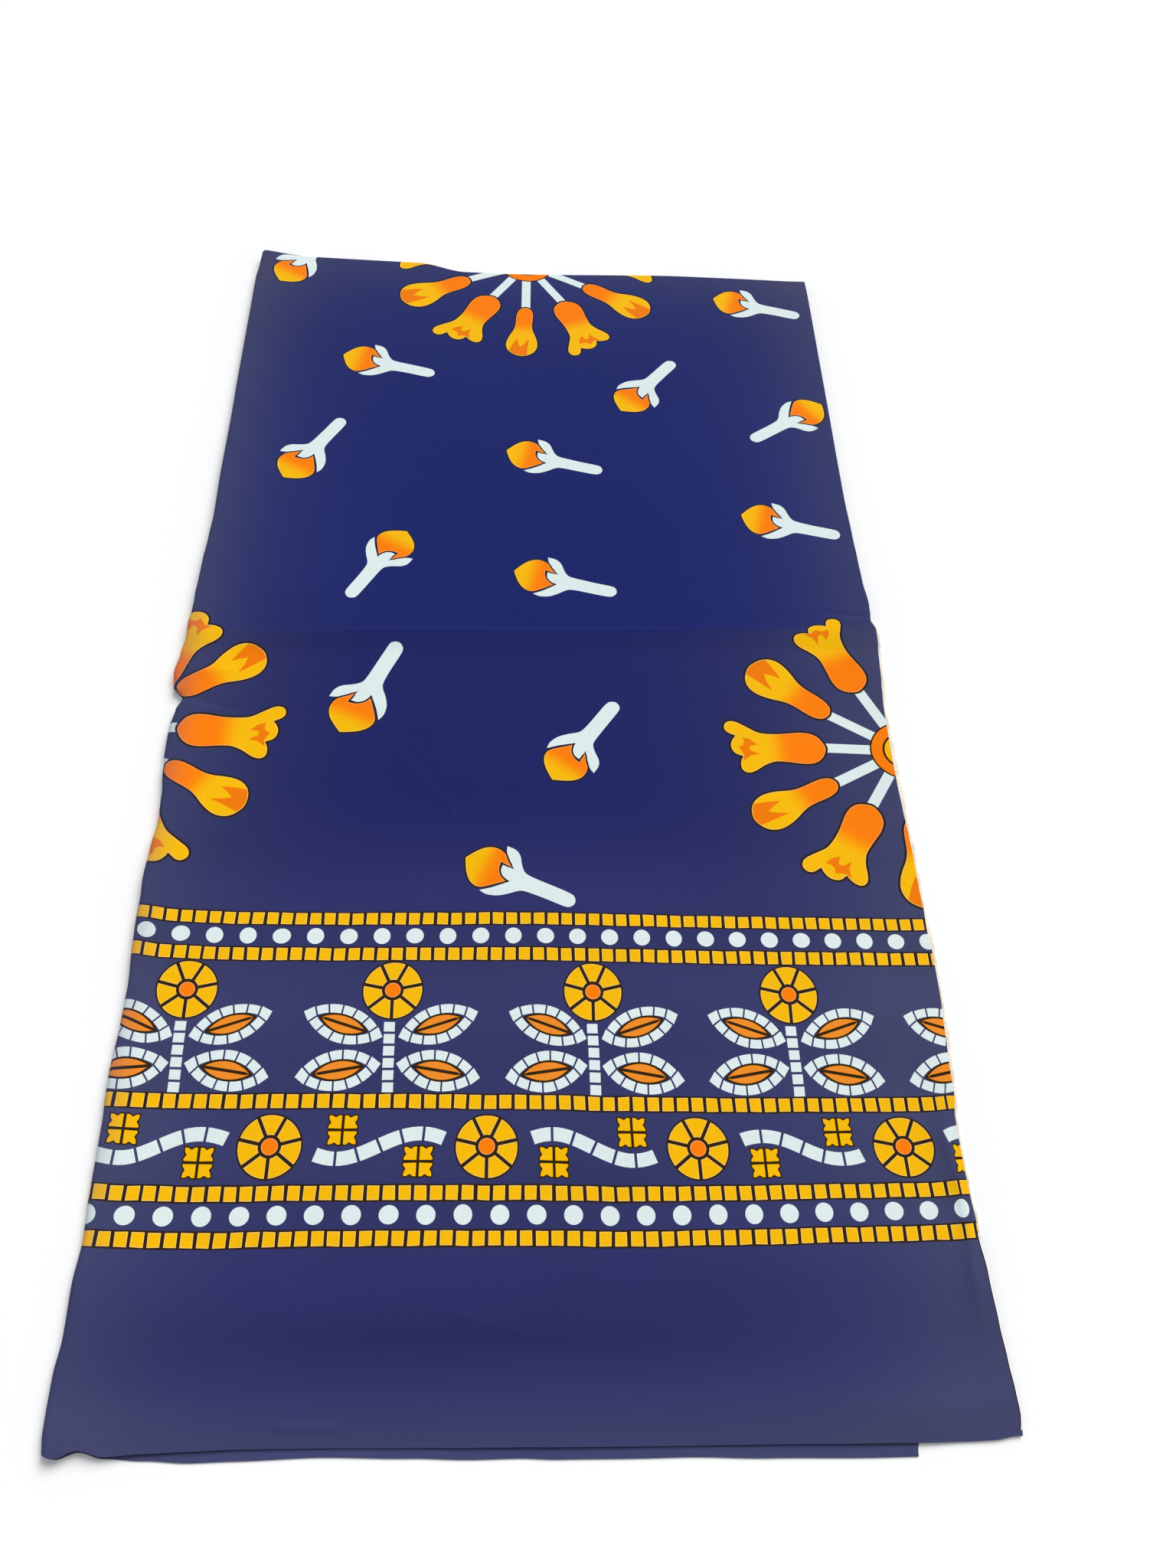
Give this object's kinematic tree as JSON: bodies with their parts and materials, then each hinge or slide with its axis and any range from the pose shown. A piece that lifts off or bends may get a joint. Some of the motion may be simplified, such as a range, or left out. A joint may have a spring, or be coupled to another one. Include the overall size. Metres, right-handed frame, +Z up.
{
  "type": "kanga wrap cloth",
  "caption": "Printed cotton kanga wrap cloth, folded in half along its length with its far end turned under, lying flat, with flower buds, flower wheels and a mosaic border.",
  "frame": {"origin": "middle of the folded cloth's box, on the surface that it lies on", "axes": "+Z up, +Y along the cloth from its printed border end to its far fold, +X from the lengthwise fold to the selvedges"},
  "size_m": [0.5636, 1.0478, 0.0104],
  "materials": {
    "printed_cotton": "plain-woven cotton, printed navy with yellow, orange and white motifs, matt with a faint sheen",
    "unprinted_cotton": "unprinted woven selvedge, cream, slightly frayed"
  },
  "bodies": {
    "root": {"top_leaf": "printed_cotton", "lower_leaf": "printed_cotton", "turned_under_end": "printed_cotton", "selvedge": "unprinted_cotton"}
  },
  "joints": []
}
